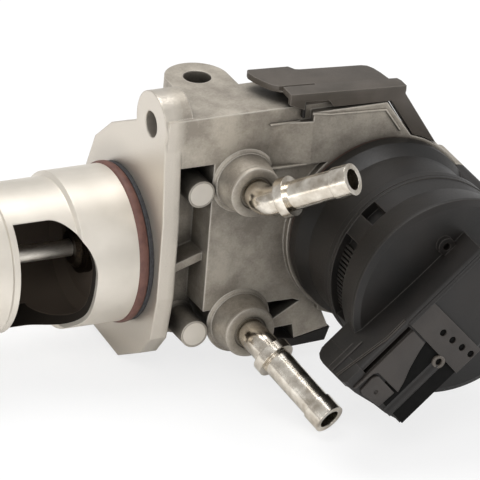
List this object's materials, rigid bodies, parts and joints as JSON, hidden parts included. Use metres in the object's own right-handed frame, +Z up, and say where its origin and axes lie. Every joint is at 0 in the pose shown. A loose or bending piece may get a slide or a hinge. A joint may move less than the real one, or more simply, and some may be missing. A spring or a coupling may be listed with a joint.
{
  "type": "egr valve",
  "caption": "Exhaust gas recirculation valve: a flanged body with a poppet in a windowed spigot, coolant pipes and a geared motor drive.",
  "frame": {"origin": "where the valve stem's axis meets the flange's sealing face", "axes": "+X along the stem from the spigot towards the drive, -Y out of the drive's front, +Z up"},
  "size_m": [0.1829, 0.1408, 0.103],
  "materials": {
    "cast_aluminium": "rough cast",
    "turned_aluminium": "turned",
    "bright_steel": "plated",
    "stainless_steel": "ground",
    "screw_steel": "plated",
    "bush_bronze": "sintered",
    "seal_rubber": "matte",
    "black_plastic": "moulded",
    "gear_plastic": "moulded",
    "can_steel": "zinc plated",
    "magnet": "dull",
    "contact_metal": "tinned",
    "board": "coated"
  },
  "bodies": {
    "housing": {"housing": "cast_aluminium", "spigot_tube": "turned_aluminium", "valve_seat": "stainless_steel", "spigot_seal": "seal_rubber", "stem_guide": "bush_bronze", "stem_seal": "seal_rubber", "return_spring": "stainless_steel", "core_plugs": "bright_steel", "upper_pipe": "bright_steel", "lower_pipe": "bright_steel", "rear_lid": "cast_aluminium", "lid_screws": "screw_steel", "rear_bush": "bush_bronze", "front_bearing": "bush_bronze", "shaft_seal": "seal_rubber", "drive_gasket": "seal_rubber", "drive_base": "black_plastic", "cover_seal": "seal_rubber", "drive_cover": "black_plastic", "drive_screws": "screw_steel", "connector_pins": "contact_metal", "idler_axle": "bright_steel", "motor_plate": "can_steel", "motor_can": "can_steel", "motor_magnets": "magnet", "brush_holder": "board", "motor_bushes": "bush_bronze", "sensor_board": "board", "top_cap": "black_plastic", "lower_cap": "black_plastic"},
    "valve": {"poppet_valve": "stainless_steel", "spring_retainer": "stainless_steel", "yoke": "stainless_steel", "follower_pin": "bright_steel"},
    "cam": {"cam_shaft": "bright_steel", "cam_plate": "stainless_steel", "sector_gear": "gear_plastic", "sensor_magnet": "magnet"},
    "idler": {"idler_gear": "gear_plastic"},
    "rotor": {"motor_shaft": "bright_steel", "armature": "magnet", "commutator": "contact_metal", "motor_pinion": "contact_metal"}
  },
  "joints": [
    {"name": "cam_turn", "type": "hinge", "parent": "housing", "child": "cam", "pos_m": [0.066, 0, 0], "axis": [0, -1, 0], "range_deg": [0, 60], "stiffness_Nm_per_rad": 0.08},
    {"name": "valve_slide", "type": "slide", "parent": "housing", "child": "valve", "axis": [-1, 0, 0], "range_m": [0, 0.0066], "deforming": ["return_spring"]},
    {"name": "idler_turn", "type": "hinge", "parent": "housing", "child": "idler", "pos_m": [0.08271, 0, 0.01992], "axis": [0, -1, 0], "range_deg": [-200.1, 0]},
    {"name": "rotor_turn", "type": "hinge", "parent": "housing", "child": "rotor", "pos_m": [0.09271, 0, 0.0026], "axis": [0, -1, 0], "range_deg": [0, 600.1]}
  ],
  "couplings": [
    {"joint": "valve_slide", "follows": "cam_turn", "m_per_rad": 0.0063},
    {"joint": "idler_turn", "follows": "cam_turn", "ratio": -3.3333},
    {"joint": "rotor_turn", "follows": "cam_turn", "ratio": 10}
  ]
}
